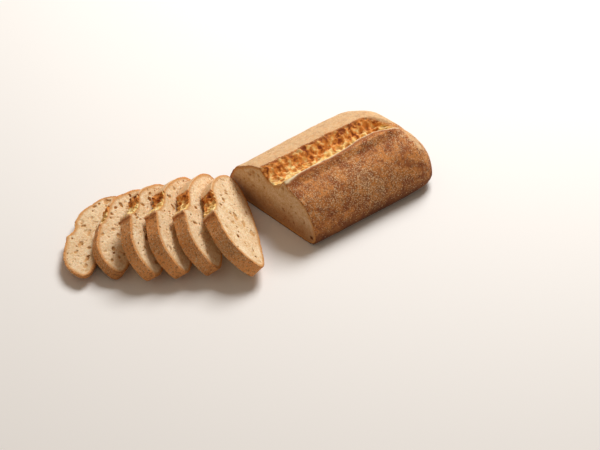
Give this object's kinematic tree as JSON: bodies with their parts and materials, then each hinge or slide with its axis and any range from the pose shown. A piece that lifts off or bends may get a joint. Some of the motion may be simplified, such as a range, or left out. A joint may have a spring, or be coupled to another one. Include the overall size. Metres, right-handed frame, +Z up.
{
  "type": "ciabatta",
  "caption": "Long low scored loaf of bread, part uncut and part sliced, its slices fallen against each other in a row.",
  "frame": {"origin": "on the surface it rests on, under the middle of the whole row's box", "axes": "+X along the uncut loaf from its cut face to its closed end, +Y to the loaf's far side, +Z up"},
  "size_m": [0.3594, 0.172, 0.0589],
  "materials": {
    "crust": "matt baked crust, floured; leather stands in, as the list has no bread",
    "crumb": "matt open crumb of wheat bread; leather stands in, as the list has no bread"
  },
  "bodies": {
    "root": {"loaf": "crust", "slice_1": "crumb", "slice_2": "crumb", "slice_3": "crumb", "slice_4": "crumb", "slice_5": "crumb", "heel": "crust"}
  },
  "joints": []
}
